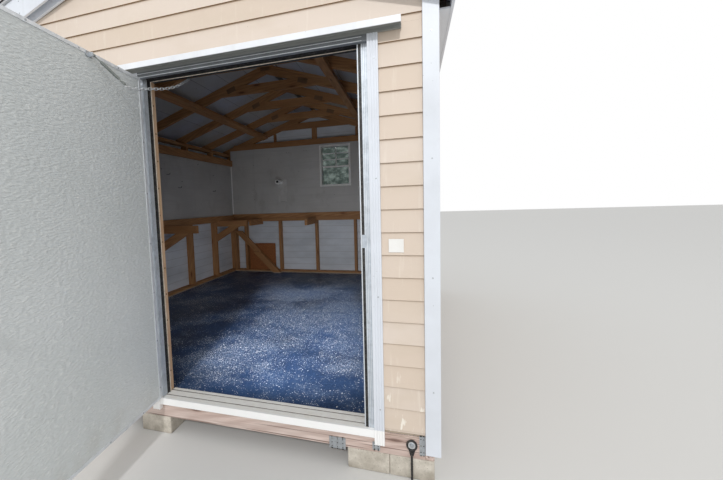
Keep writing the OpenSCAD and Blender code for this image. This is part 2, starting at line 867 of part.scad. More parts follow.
foundation_blocks();
floor_frame();
floor_deck();
front_wall_left();
front_wall_right();
front_gable();
back_wall();
left_wall();
right_wall();
front_wall_frame();
back_wall_frame();
left_wall_frame();
right_wall_frame();
back_lining();
side_linings();
trusses();
roof_runners();
side_girts();
roof_deck();
shingles();
ridge_cap();
rake_trims();
eave_trims();
corner_trims();
door_frame();
door_casings();
drip_cap();
threshold();
door_leaf();
door_channel();
door_hinges();
hinge_plates();
door_latch();
stay_bracket();
door_stay();
window_frame();
window_glass();
bench_ledgers();
bench_brackets();
corner_brace();
wall_fixture();
hardboard_panel();
blank_plate();
tie_straps();
anchor_cables();
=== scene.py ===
# Gable storage shed with its wide door open
import json
from math import atan, copysign, cos, pi, radians, sin
from random import Random

import bmesh
import bpy
from mathutils import Matrix, Vector


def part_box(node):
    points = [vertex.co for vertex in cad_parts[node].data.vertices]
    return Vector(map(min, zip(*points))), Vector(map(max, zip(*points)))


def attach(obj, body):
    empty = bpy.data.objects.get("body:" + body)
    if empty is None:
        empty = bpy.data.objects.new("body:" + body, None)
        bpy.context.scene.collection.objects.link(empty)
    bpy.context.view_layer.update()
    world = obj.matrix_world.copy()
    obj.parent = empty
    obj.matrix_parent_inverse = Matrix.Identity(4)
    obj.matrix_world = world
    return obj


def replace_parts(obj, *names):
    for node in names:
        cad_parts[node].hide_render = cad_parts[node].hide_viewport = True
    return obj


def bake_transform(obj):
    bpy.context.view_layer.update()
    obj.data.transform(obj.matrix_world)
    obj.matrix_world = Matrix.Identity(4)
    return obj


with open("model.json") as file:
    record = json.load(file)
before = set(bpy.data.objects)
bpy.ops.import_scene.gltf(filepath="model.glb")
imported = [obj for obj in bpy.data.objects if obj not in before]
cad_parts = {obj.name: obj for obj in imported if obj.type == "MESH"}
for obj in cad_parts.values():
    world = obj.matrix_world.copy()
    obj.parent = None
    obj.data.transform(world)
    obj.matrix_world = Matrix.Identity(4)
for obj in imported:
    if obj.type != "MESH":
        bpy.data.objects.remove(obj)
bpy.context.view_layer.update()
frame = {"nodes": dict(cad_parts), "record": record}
nodes = frame["nodes"]
print("frame loaded:", len(nodes), "nodes")

# Shared sizes and turns, in metres and radians
roofSlope = atan(1 / 3)
halfDepth, trussBay, ridgeUnder = 1.829, 0.6096, 2.65
halfPi = pi / 2
level, turnToX, turnToY = (0, 0, 0), (0, halfPi, 0), (halfPi, 0, 0)
bothWays = (-1, 1)


# Height of the rafters' lower edge, so far from the middle
def roofUnder(x):
    return ridgeUnder - x / 3


# Positions at an even spacing
def evenly(start, step, count):
    return [start + step * k for k in range(count)]


# Camera before the right half of the doorway, turned a little to the left
view = {
    "place": (1.4372, -3.3858, 1.2840),
    "turn": (16.397, 4.303, 1.885),    # degrees to the left, down and of roll
    "lens": 17.03, "shift": (0.0686, -0.0130),
}


def addObject(name, data):
    thing = bpy.data.objects.new(name, data)
    bpy.context.collection.objects.link(thing)
    return thing


yaw, down, roll = (radians(angle) for angle in view["turn"])
data = bpy.data.cameras.new("photoCamera")
data.sensor_width, data.clip_start, data.lens = 36, 0.02, view["lens"]
data.shift_x, data.shift_y = view["shift"]
camera = addObject("photoCamera", data)
turn = Matrix.Rotation(yaw, 4, "Z") @ Matrix.Rotation(halfPi - down, 4, "X") @ Matrix.Rotation(-roll, 4, "Z")
camera.matrix_world = Matrix.Translation(view["place"]) @ turn
bpy.context.scene.camera = camera
print("camera placed")


def linear(colour):
    parts = [int(colour[i:i + 2], 16) / 255 for i in (1, 3, 5)]
    return [p / 12.92 if p <= 0.04045 else ((p + 0.055) / 1.055) ** 2.4 for p in parts] + [1.0]


# Adds a node with settings and sockets (values, hex colours, other nodes' outputs) and gives back its outputs;
# "Math" stands for ShaderNodeMath, and "MeshCube" for GeometryNodeMeshCube
def put(tree, kind, sockets=None, **settings):
    node = tree.nodes.new(kind if "Node" in kind else tree.bl_idname[:-4] + kind)
    for key, value in settings.items():
        setattr(node, key, value)
    for key, value in (sockets or {}).items():
        if isinstance(value, bpy.types.NodeSocket):
            tree.links.new(value, node.inputs[key])
        else:
            isHex = isinstance(value, str) and value.startswith("#")
            node.inputs[key].default_value = linear(value) if isHex else value
    return node.outputs


# Starts a material, with the coordinates that its patterns use
def startMaterial(name, roughness=0.5, ior=1.5, more=None):
    material = bpy.data.materials.new(name)
    material.use_nodes = True
    tree = material.node_tree
    for key, value in {"Roughness": roughness, "IOR": ior, **(more or {})}.items():
        tree.nodes["Principled BSDF"].inputs[key].default_value = value
    return material, tree, put(tree, "TexCoord")["Object"]


# Soft clouds, so many to the metre along each of three directions
def clouds(coords, perMetre, detail=3.0, rough=0.55):
    tree = coords.id_data
    spread = (perMetre,) * 3 if isinstance(perMetre, (int, float)) else perMetre
    placed = put(tree, "Mapping", {"Vector": coords, "Scale": spread})[0]
    return put(tree, "TexNoise", {"Vector": placed, "Scale": 1.0, "Detail": detail, "Roughness": rough})["Fac"]


# Lays colours over each other where a pattern runs from low to high, at most so strongly
def wash(colour, *coats):
    for over, pattern, low, high, *most in coats:
        share = put(pattern.id_data, "MapRange", {
            "Value": pattern, "From Min": low, "From Max": high, "To Max": most[0] if most else 1.0})[0]
        colour = put(pattern.id_data, "Mix", {0: share, 6: colour, 7: over}, data_type="RGBA")[2]
    return colour


# A coat of specks, so many cells to the metre, each as wide as a share of its cell
def specks(coords, perMetre, share, speckColour, most):
    cell = put(coords.id_data, "TexVoronoi", {"Vector": coords, "Scale": perMetre})["Distance"]
    return speckColour, cell, share, share * 0.6, most


# Gives a material its colour, relief and, where patterned, roughness
def dress(material, colour, height, depth, strength, rough=None):
    tree = material.node_tree
    relief = put(tree, "Bump", {"Height": height, "Distance": depth, "Strength": strength})[0]
    for key, pattern in (("Base Color", colour), ("Normal", relief), ("Roughness", rough)):
        if pattern:
            tree.links.new(pattern, tree.nodes["Principled BSDF"].inputs[key])
    return material


# Framing lumber: plain-sawn softwood; rings, fibre and knots follow each board's own length
lumber = {
    "ringStep": 0.008,     # metres, twice the real spacing so that it shows
    "fibre": 240,          # streaks per metre across the board
    "knotEvery": 0.42,     # metres along the board
    "dampFrom": 0.228, "dampFull": 0.222,    # heights between which a board's foot greys
}


def makeLumber(name, look):
    material, tree, coords = startMaterial(name, look["roughness"])
    grain = put(tree, "Attribute", attribute_name="grain")["Vector"]
    tint = put(tree, "Attribute", attribute_name="tint")["Fac"]
    slow = put(tree, "Mapping", {"Vector": grain, "Scale": (1.6, 9, 9)})[0]
    wander = put(tree, "TexNoise", {"Vector": slow, "Scale": 1.0, "Detail": 2.0})["Color"]
    bent = put(tree, "VectorMath", {0: wander, 1: (0.035,) * 3, 2: grain}, operation="MULTIPLY_ADD")[0]
    flat = put(tree, "Mapping", {"Vector": bent, "Scale": (0.04, 1, 1)})[0]
    reach = put(tree, "VectorMath", {0: flat}, operation="LENGTH")["Value"]
    turns = put(tree, "Math", {0: reach, 1: 2 * pi / lumber["ringStep"]}, operation="MULTIPLY")[0]
    ring = put(tree, "Math", {0: turns}, operation="SINE")[0]
    fibre = clouds(grain, (5, lumber["fibre"], lumber["fibre"]))
    crowd = put(tree, "Mapping", {"Vector": grain, "Scale": (1 / lumber["knotEvery"], 9, 9)})[0]
    knot = put(tree, "TexVoronoi", {"Vector": crowd, "Scale": 1.0})["Distance"]
    height = put(tree, "SeparateXYZ", {0: coords})[2]
    colour = wash(
        look["pale"],
        (look["dark"], ring, -0.6, 1.0, 0.55),
        (look["dark"], fibre, 0.4, 0.72, 0.7),
        (look["bloom"], clouds(grain, (1.4, 10, 10), 4.0), 0.5, 0.75, 0.5),
        (look["dark"], knot, 0.2, 0.1, 0.7),
        (look["knot"], knot, 0.1, 0.05, 0.9),
        (look["dirt"], clouds(grain, (2.2, 16, 16)), 0.45, 0.72, look["dirtMost"]),
        (look["knot"], clouds(grain, (1.2, 90, 90), 2.0), look["checkFrom"], look["checkFrom"] + 0.04,
         look["checks"]),
        (look["dirt"], tint, -0.2, 1.3, 0.5),
        ("#A3988A", height, lumber["dampFrom"], lumber["dampFull"], look["damp"]))
    return dress(material, colour, fibre, 0.0007, 0.6)


bare = {"dirtMost": 0.4, "checks": 0.4, "checkFrom": 0.66, "damp": 0.85}
# Bare pine darkened by years of heat under a roof: orange brown and dull
agedPine = makeLumber("agedPine", dict(
    bare, pale="#C29262", dark="#96633A", bloom="#D2A878", knot="#5A341B", dirt="#8A5E36", roughness=0.66))
# The doorway's posts: a paler copy of the pine, painted light where daylight reaches them
daylitPine = makeLumber("daylitPine", dict(
    bare, pale="#F6D8B4", dark="#D3A277", bloom="#FBE3C6", knot="#6B3F22", dirt="#B48F70", roughness=0.6,
    dirtMost=0.35))
# Pressure-treated skids bleached by sun and splashed from the ground: pinkish grey with dark checks
treatedSkid = makeLumber("treatedSkid", dict(
    pale="#EBD8CF", dark="#B89D91", bloom="#F4E9E1", knot="#6A5248", dirt="#A18A80", roughness=0.85,
    dirtMost=0.45, checks=0.8, checkFrom=0.58, damp=0.0))

# Acrylic house paint over wood-fibre lap siding: cream and smooth outside, primed grey on its back
siding = {
    "foot": 0.237, "exposure": 0.1016,     # first course, and how much of each shows
    "backX": (1.5249, 1.5246), "backY": (1.8296, 1.8298),    # from paint to primer
}


def makeSiding():
    material, tree, coords = startMaterial("creamLapSiding", 0.55, 1.48)
    part = put(tree, "SeparateXYZ", {0: coords})
    lift = put(tree, "Math", {0: part[2], 1: siding["foot"]}, operation="SUBTRACT")[0]
    course = put(tree, "Math", {0: lift, 1: siding["exposure"]}, operation="DIVIDE")[0]
    share = put(tree, "Math", {0: course}, operation="FRACT")[0]
    row = put(tree, "Math", {0: course}, operation="FLOOR")[0]
    luck = put(tree, "TexWhiteNoise", {"W": row}, noise_dimensions="1D")["Value"]
    haze = clouds(coords, (2.4, 2.4, 6), 4.0)
    colour = wash(
        "#DFD1C4",
        ("#D9C8B7", luck, 0.0, 1.0),
        ("#D3C3B0", haze, 0.48, 0.78, 0.8),
        # rain streaks and chalk, short and upright
        ("#F7EFE2", clouds(coords, (46, 46, 3.2)), 0.6, 0.8, 0.3),
        specks(coords, 18.0, 0.03, "#8E7B62", 0.7))
    splash = wash(colour, ("#FAF5EA", clouds(coords, (46, 46, 12)), 0.62, 0.68, 0.75))
    up = put(tree, "SeparateXYZ", {0: put(tree, "NewGeometry")["True Normal"]})[2]
    colour = wash(
        colour,
        # splash marks and bleached runs low on the wall
        (splash, part[2], 0.6, 0.3),
        # painted shadow under each lap, partly dust; the boards' undersides painted brown, partly their bare edge and
        # partly painted shade
        ("#B99F7C", share, 0.9, 1.0, 0.4),
        ("#8F7150", up, -0.6, -0.9))
    # backs, seen between the studs
    offMiddle = put(tree, "Math", {0: share, 1: 0.5}, operation="PINGPONG")[0]
    back = wash("#E6ECF5", ("#CFD5DD", haze, 0.35, 0.7), ("#8A8781", offMiddle, 0.05, 0.01, 0.35))
    away = [put(tree, "Math", {0: part[k]}, operation="ABSOLUTE")[0] for k in (0, 1)]
    back = wash(back, (colour, away[1], *siding["backY"]))
    colour = wash(colour, (back, away[0], *siding["backX"]))
    return dress(material, colour, clouds(coords, (30, 30, 420)), 0.0004, 0.35)


creamLapSiding = makeSiding()


# White goods: colour, rain streaks and roughness; painted shade below a height and behind a y; bleach by height
def makeWhite(name, colour, streakColour, roughness, paintedShade=None, bleach=None):
    material, tree, coords = startMaterial(name, roughness, 1.49)
    colour = wash(
        colour,
        (streakColour, clouds(coords, 3.5, 5.0), 0.45, 0.75, 0.6),
        (streakColour, clouds(coords, (26, 26, 1.6), 4.0), 0.56, 0.8, 0.5),
        specks(coords, 24.0, 0.045, "#7F7B73", 0.6))
    if paintedShade:
        below, behind = paintedShade
        part = put(tree, "SeparateXYZ", {0: coords})
        # grey painted shade below the given height and behind the given y
        grey = wash(colour, ("#747670", part[2], below + 0.0006, below - 0.0002, 0.85))
        colour = wash(colour, (grey, part[1], behind, behind + 0.0005))
    if bleach:
        height = put(tree, "SeparateXYZ", {0: coords})[2]
        colour = wash(colour, (bleach[0], height, *bleach[1:]))
    return dress(material, colour, clouds(coords, (240, 240, 48), 2.0), 0.0003, 0.3)


# Painted trim boards: hard, cool white
whiteTrimPaint = makeWhite("whiteTrimPaint", "#E1E6EE", "#CFD3D9", 0.42)
# The casings' paint, bleached white on the sill
casingPaint = makeWhite("casingPaint", "#E1E6EE", "#CFD3D9", 0.42, bleach=("#FDFDFC", 0.2275, 0.2250))
# Newer paint on the drip cap, with grey painted shade in its hollow
capPaint = makeWhite("capPaint", "#EFF2F7", "#DCDFE2", 0.42, paintedShade=(2.0232, -1.9048))
# Extruded vinyl, slightly glossier and warmer than the paint
windowVinyl = makeWhite("windowVinyl", "#F4F4F2", "#D8D7D2", 0.34)
# Bare moulded plastic of the plate by the doorway
mouldedPlastic = makeWhite("mouldedPlastic", "#F2F1EE", "#D6D3CA", 0.4)


# White pipe above a cover plate that was painted with the wall
def makePipePaint():
    material, tree, coords = startMaterial("pipeAndPlatePaint", 0.45)
    toWall = put(tree, "SeparateXYZ", {0: coords})[1]
    grime = clouds(coords, 14.0, 4.0)
    plate = wash("#C9C8C6", ("#B9B8B5", grime, 0.4, 0.75))
    pipe = wash("#FAFAF8", ("#D9D7D0", grime, 0.5, 0.8))
    # the plate lies within 12 mm of the wall
    return dress(material, wash(pipe, (plate, toWall, 1.7185, 1.7195)), grime, 0.0004, 0.3)


pipePaint = makePipePaint()

# Navy floor coating strewn with white vinyl chips, dusty in patches, painted paler round the room's middle as a pool of
# light; its edge is raw board
floorChips = {
    # round this middle the pale dust also stands in for the sunlit patch: painted light
    "middle": (0.4, 0.3, 0.21), "edge": 1.2, "core": 0.5,    # where chips and dust lie thickest
    # cell in metres, chip's reach in it, and the share of cells with one where few and many lie
    "sizes": ((0.0075, 0.28, 0.07, 0.62), (0.018, 0.21, 0.05, 0.42), (0.04, 0.14, 0.03, 0.3)),
}


def makeFloorCoating():
    material, tree, coords = startMaterial("chipStrewnFloorCoating", more={"Specular IOR Level": 0.3})
    haze = clouds(coords, 1.7, 5.0)
    far = put(tree, "VectorMath", {
        0: coords, 1: floorChips["middle"]}, operation="DISTANCE")["Value"]
    near = put(tree, "MapRange", {
        "Value": far, "From Min": floorChips["edge"], "From Max": floorChips["core"], "To Max": 0.08})[0]
    crowd = put(tree, "Math", {0: clouds(coords, 2.6, 4.0, 0.6), 1: near})[0]
    colour = wash(
        "#17263F",
        ("#2E4A74", haze, 0.35, 0.7),
        ("#536E96", clouds(coords, 150.0, 4.0), 0.45, 0.75, 0.6))
    # painted light: pale dust, laid thickest round the middle, stands in for the pool of sunlight
    dustAndLightPool = wash(colour, ("#A9BAD0", clouds(coords, 90.0, 3.0, 0.7), 0.46, 0.64, 0.6))
    colour = wash(colour, (dustAndLightPool, crowd, 0.46, 0.62))
    shift = put(tree, "TexNoise", {"Vector": coords, "Scale": 160.0})["Color"]
    ragged = put(tree, "VectorMath", {
        0: shift, 1: (0.0015,) * 3, 2: coords}, operation="MULTIPLY_ADD")[0]
    highest = None
    for cellSize, wide, fewest, most in floorChips["sizes"]:
        cell = put(tree, "TexVoronoi", {"Vector": ragged, "Scale": 1 / cellSize})
        luck = put(tree, "SeparateXYZ", {0: cell["Color"]})[0]
        limit = put(tree, "MapRange", {
            "Value": crowd, "From Min": 0.36, "From Max": 0.64, "To Min": fewest, "To Max": most})[0]
        kept = put(tree, "Math", {0: limit, 1: luck}, operation="SUBTRACT")[0]
        reach = put(tree, "MapRange", {"Value": kept, "From Max": 0.12, "To Max": wide})[0]
        inside = put(tree, "Math", {0: reach, 1: cell["Distance"]}, operation="SUBTRACT")[0]
        colour = wash(colour, ("#FFFFFF", inside, 0.0, 0.03))
        if highest:
            inside = put(tree, "Math", {0: highest, 1: inside}, operation="MAXIMUM")[0]
        highest = inside
    up = put(tree, "SeparateXYZ", {0: put(tree, "NewGeometry")["True Normal"]})[2]
    edge = wash("#DCC8BC", ("#A48C80", clouds(coords, (9, 9, 240)), 0.4, 0.6))
    rough = put(tree, "MapRange", {
        "Value": haze, "From Min": 0.3, "From Max": 0.7, "To Min": 0.36, "To Max": 0.58})[0]
    bumps = put(tree, "MapRange", {"Value": highest, "From Max": 0.05})[0]
    return dress(material, wash(edge, (colour, up, 0.4, 0.6)), bumps, 0.0006, 0.5, rough)


floorCoating = makeFloorCoating()


# Faced board: two pale shades, smudges, pin holes, and ripples per metre of height
def makeBoard(name, pale, grey, smudge, ripple):
    material, _, coords = startMaterial(name, 0.6)
    ripples = clouds(coords, (2, 2, ripple), 2.0)
    colour = wash(
        pale,
        (grey, clouds(coords, 1.5, 5.0), 0.35, 0.7),
        (smudge, clouds(coords, (5, 5, 3), 6.0, 0.7), 0.55, 0.76, 0.45),
        (grey, ripples, 0.5, 0.62, 0.4),
        specks(coords, 5.5, 0.02, "#4B443C", 1.0))
    return dress(material, colour, ripples, 0.002, 0.4)


# Wall lining with a matt grey face
facedWallBoard = makeBoard("facedWallBoard", "#C6C5C3", "#B5B4B2", "#8F8B84", 34)
# Roof sheathing with a pale radiant facing below
facedRoofBoard = makeBoard("facedRoofBoard", "#BDC1CB", "#B4B2AA", "#85878C", 6)


# Simple finish: coats of clouds over one colour, and clouds as its relief
def makeFinish(name, roughness, colour, coats, relief, depth, strength, more=None):
    material, _, coords = startMaterial(name, roughness, more=more)
    laid = [(over, clouds(coords, *pattern), *share) for over, pattern, *share in coats]
    return dress(material, wash(colour, *laid), clouds(coords, relief), depth, strength)


# Tempered hardboard: smooth brown fibre with a few scratches
temperedHardboard = makeFinish("temperedHardboard", 0.5, "#B0703F", (
    ("#8A5230", (90.0, 5.0), 0.3, 0.7), ("#C99668", ((9, 9, 126),), 0.62, 0.7, 0.4)), 500.0, 0.0003, 0.3)
# Float glass with a film of salt and dust, half clear, tinted dark grey green as painted shade for the dim view beyond
# it
shadedFloatGlass = makeFinish("dustyShadedGlass", 0.12, "#434E4A", (
    ("#7B8782", ((14, 14, 18), 5.0), 0.45, 0.65),), 5.0, 0.0005, 0.2, {"Transmission Weight": 0.9})
# Black sheath of ropes and gaskets, also painted shade in holes and gaps of the doorway, and dark joints
blackSheathAndShade = makeFinish("blackSheathAndShade", 0.5, "#1B1B1C", (("#4A4641", (60.0, 4.0), 0.45, 0.75),), 400.0, 0.0003, 0.4)
blackCableAndShade = blackSheathAndShade, "black_cable"
# Vinyl bulb of the weather seal, once white, now beige
sealVinyl = makeFinish("sealVinyl", 0.5, "#EDE0D0", (("#B9A896", (60.0, 4.0), 0.45, 0.75),), 400.0, 0.0003, 0.4)


# Stucco-embossed aluminium skin, factory painted pale grey, with fine upright pebbles
def makeDoorSkin():
    material, tree, coords = startMaterial("stuccoEmbossedSkin", 0.4)
    height = put(tree, "SeparateXYZ", {0: coords})[2]
    colour = wash(
        "#E2E6E7",
        ("#D5DADA", clouds(coords, 1.3, 4.0), 0.35, 0.72),
        ("#E4E8E7", clouds(coords, (20, 20, 1.6), 4.0), 0.55, 0.8, 0.35),
        specks(coords, 14.0, 0.028, "#6D675C", 0.8),
        # chalkier and darker towards the top
        ("#B9BFBE", height, 0.9, 1.9, 0.35))
    mud = wash(colour, ("#A39C8B", clouds(coords, 7.0, 4.0), 0.45, 0.7, 0.6))
    pebbles = clouds(coords, (110, 58, 165), 1.0, 0.4)
    larger = clouds(coords, (60, 30, 80), 1.0)
    emboss = put(tree, "Math", {0: larger, 1: 0.4, 2: pebbles}, operation="MULTIPLY_ADD")[0]
    # the emboss's tops are painted near white: painted highlight
    colour = wash(colour, (mud, height, 0.4, 0.24, 0.6), ("#F1F4F2", emboss, 0.8, 0.95, 0.5))
    return dress(material, colour, emboss, 0.004, 0.75)


stuccoSkin = makeDoorSkin()


# Bare metal: shades, roughness, how metallic, lines and spangle cells per metre, and a darker colour by height
def makeMetal(name, colour, stain, roughness, metallic, lines, spangle, grime=None):
    material, tree, coords = startMaterial(name, more={"Metallic": metallic})
    cells = put(tree, "TexVoronoi", {"Vector": coords, "Scale": spangle})
    luck = put(tree, "SeparateXYZ", {0: cells["Color"]})[0]
    patches = clouds(coords, 12.0, 6.0, 0.7)
    colour = wash(colour, (stain, luck, 0.0, 1.0, 0.25), (stain, patches, 0.5, 0.74, 0.6))
    if grime:
        height = put(tree, "SeparateXYZ", {0: coords})[2]
        # darker between two heights; on the doorway's lips this is painted shade
        colour = wash(colour, (grime[0], height, *grime[1:], 0.85))
    rough = put(tree, "MapRange", {
        "Value": patches, "From Min": 0.35, "From Max": 0.7, "To Min": roughness, "To Max": roughness + 0.2})[0]
    return dress(material, colour, clouds(coords, lines), 0.0002, 0.5, rough)


uprightLines = (240, 240, 12)
# Aluminium lips round the doorway, darker near the top as painted shade under the drip cap
frameAluminium = makeMetal("frameAluminium", "#CDD5DE", "#989EA4", 0.5, 0.7, uprightLines, 40,
                           ("#6C6E70", 1.955, 1.985))
# Raised edges of the extrusions, painted lighter than the rest as highlights; also the leaf's edge channel
edgeAndHighlightAluminium = makeMetal("edgeAndHighlightAluminium", "#E9EDF1", "#BFC3C6", 0.45, 0.35, uprightLines, 40)
# Ribbed tread, painted near white as a lit copy of the aluminium, and darker low in its grooves
litTreadAluminium = makeMetal("litTreadAluminium", "#FFFEFA", "#EEE9E1", 0.5, 0.05, (12, 240, 240), 40,
                           ("#463C30", 0.2219, 0.2206))
# Hot-dip zinc: flat grey with a faint spangle about 8 mm across
hotDipZinc = makeMetal("hotDipZinc", "#C0C5CA", "#8B8E90", 0.42, 0.9, 60.0, 120)
# Fresh zinc plate of washers and chain
brightZinc = makeMetal("brightZinc", "#DDE0E2", "#A7AAAC", 0.35, 0.85, 60.0, 90)
# Old plated wire, dark with weather
weatheredZinc = makeMetal("weatheredZinc", "#A3A8A5", "#5C605C", 0.45, 0.8, 60.0, 200)
# Pressed plates and post nails, brown with rust
rustedPlate = makeMetal("rustedPlate", "#8C6B4E", "#5A402C", 0.6, 0.35, 60.0, 90)


# Mineral-surfaced asphalt shingle: granules about 1.5 mm, drawn at 4 mm so that they show
def makeShingle():
    material, tree, coords = startMaterial("mineralShingle", 0.92)
    tint = put(tree, "Attribute", attribute_name="tint")["Fac"]
    grit = put(tree, "TexVoronoi", {"Vector": coords, "Scale": 250.0})["Color"]
    luck = put(tree, "SeparateXYZ", {0: grit})[0]
    colour = wash(
        "#5B5650",
        ("#938D83", luck, 0.0, 1.0),
        ("#4F4943", tint, 0.0, 1.0, 0.6),
        ("#45423C", clouds(coords, 1.6, 5.0), 0.5, 0.75, 0.35))
    return dress(material, colour, luck, 0.0012, 0.7)


mineralShingle = makeShingle()


# Cast concrete block: sandy grey with pits and a damp foot
def makeConcrete():
    material, tree, coords = startMaterial("castConcrete", 0.9)
    pit = put(tree, "TexVoronoi", {"Vector": coords, "Scale": 90.0})["Distance"]
    colour = wash(
        "#DCD5C9",
        ("#AFA79A", clouds(coords, 22.0, 6.0, 0.65), 0.3, 0.7),
        ("#6F685D", pit, 0.22, 0.1, 0.5))
    damp = wash(colour, ("#7D7565", clouds(coords, 9.0), 0.35, 0.6, 0.6))
    height = put(tree, "SeparateXYZ", {0: coords})[2]
    colour = wash(colour, (damp, height, 0.06, 0.0))
    return dress(material, colour, clouds(coords, 120.0, 5.0), 0.002, 0.7)


castConcrete = makeConcrete()
print("materials made")

# CAD nodes that keep their own mesh
plainFinish = (
    (floorCoating, ("floor_deck",)),
    (creamLapSiding, ("front_wall_left", "front_wall_right", "front_gable", "back_wall", "left_wall", "right_wall")),
    (facedWallBoard, ("back_lining", "side_linings")),
    (facedRoofBoard, ("roof_deck",)),
    (stuccoSkin, ("door_leaf",)),
    (hotDipZinc, ("door_hinges", "hinge_plates", "door_latch", "stay_bracket")),
    (shadedFloatGlass, ("window_glass",)),
    (temperedHardboard, ("hardboard_panel",)),
)


def setMaterial(mesh, material):
    mesh.materials.clear()
    mesh.materials.append(material)


for material, names in plainFinish:
    for name in names:
        setMaterial(nodes[name].data, material)

# CAD nodes eased in a copy: material, edge radius in metres, nodes and their pieces
easedEdges = (
    (castConcrete, 0.006, {"foundation_blocks": "concreteBlocks"}),
    (treatedSkid, 0.003, {"floor_frame": "skidFrame"}),
    (daylitPine, 0.002, {"front_wall_frame": "frontStuds"}),
    (agedPine, 0.002, {
        "back_wall_frame": "backStuds", "left_wall_frame": "leftStuds", "right_wall_frame": "rightStuds",
        "trusses": "trussTimbers", "roof_runners": "roofRunners", "side_girts": "girtBoards",
        "bench_ledgers": "benchLedgers", "bench_brackets": "benchBrackets", "corner_brace": "cornerBrace"}),
    (whiteTrimPaint, 0.002, {"corner_trims": "cornerBoards"}),
    (whiteTrimPaint, 0.0015, {"rake_trims": "rakeBoards", "eave_trims": "eaveBoards"}),
    (casingPaint, 0.0008, {"door_casings": "flutedCasings"}),
    (capPaint, 0.0015, {"drip_cap": "dripCap"}),
    (frameAluminium, 0.0004, {"door_frame": "doorFrameLips"}),
    (litTreadAluminium, 0.001, {"threshold": "thresholdTread"}),
    (edgeAndHighlightAluminium, 0.0005, {"door_channel": "doorEdgeChannel"}),
    (windowVinyl, 0.0015, {"window_frame": "windowSashes"}),
    (pipePaint, 0.0012, {"wall_fixture": "pipePlate"}),
    (mouldedPlastic, 0.0008, {"blank_plate": "blankPlate"}),
    (hotDipZinc, 0.0004, {"tie_straps": "tieStraps"}),
)
doorNodes = frame["record"]["behaviour"]["bodies"]["door"]


# Vertices of each separate solid in a mesh
def solidsOf(mesh):
    linked = [[] for _ in mesh.vertices]
    for a, b in (edge.vertices for edge in mesh.edges):
        linked[a].append(b)
        linked[b].append(a)
    seen, groups = set(), []
    for start in range(len(linked)):
        if start in seen:
            continue
        seen.add(start)
        group, todo = [], [start]
        while todo:
            group.append(todo.pop())
            near = [v for v in linked[group[-1]] if v not in seen]
            seen.update(near)
            todo += near
        groups.append(group)
    return groups


# Adds attributes to the points, all before one is read, since each new one moves the others
def addAttributes(mesh, *labels):
    for label in labels:
        mesh.attributes.new(label, "FLOAT" if label == "tint" else "FLOAT_VECTOR", "POINT")
    return [mesh.attributes[label].data for label in labels]


# Writes each board's own coordinates, its length first, and a tint
def writeGrain(mesh, seed):
    luck = Random(seed)
    grain, tint = addAttributes(mesh, "grain", "tint")
    # a board's diagonal is snapped to one of these ways
    ways = [Vector(way).normalized() for way in (
        (1, 0, 0), (0, 1, 0), (0, 0, 1), (3, 0, 1), (3, 0, -1), (1, 0, 1), (1, 0, -1), (1.732, 0, 1))]
    for group in solidsOf(mesh):
        points = [mesh.vertices[v].co.copy() for v in group]
        middle = sum(points, Vector()) / len(points)
        far = max(points, key=lambda p: (p - middle).length)
        other = max(points, key=lambda p: (p - far).length)
        diagonal = (far - other).normalized()
        length = max(ways, key=lambda way: abs(way.dot(diagonal)))
        across = length.cross(Vector((0, 1, 0)) if abs(length.y) < 0.9 else Vector((1, 0, 0))).normalized()
        third = length.cross(across)
        start = Vector((luck.uniform(-9, 9), luck.uniform(0.03, 0.08), luck.uniform(-0.04, 0.04)))
        shade = luck.random()
        for v, p in zip(group, points):
            q = p - middle
            grain[v].vector = start + Vector((q.dot(length), q.dot(across), q.dot(third)))
            tint[v].value = shade


def bakeModifiers(piece):
    depsgraph = bpy.context.evaluated_depsgraph_get()
    result = bpy.data.meshes.new_from_object(
        piece.evaluated_get(depsgraph), preserve_all_data_layers=True, depsgraph=depsgraph)
    piece.modifiers.clear()
    piece.data = result
    return result


def easeEdges(node, name, material, radius, seed):
    shape = bmesh.new()
    shape.from_mesh(nodes[node].data)
    bmesh.ops.remove_doubles(shape, verts=shape.verts, dist=1e-6)
    bmesh.ops.dissolve_limit(shape, angle_limit=radians(0.5), verts=shape.verts, edges=shape.edges)
    piece = addObject(name, bpy.data.meshes.new(name))
    shape.to_mesh(piece.data)
    shape.free()
    bevel = piece.modifiers.new("ease", "BEVEL")
    bevel.width, bevel.segments, bevel.limit_method = radius, 2, "ANGLE"
    bevel.angle_limit = radians(28)
    mesh = bakeModifiers(piece)
    setMaterial(mesh, material)
    if material in (agedPine, daylitPine, treatedSkid):
        writeGrain(mesh, seed)
    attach(piece, "door" if node in doorNodes else "building")
    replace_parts(piece, node)


seed = 0
for material, radius, pieces in easedEdges:
    for node, name in pieces.items():
        easeEdges(node, name, material, radius, seed)
        seed += 1
print("boards and trims eased")


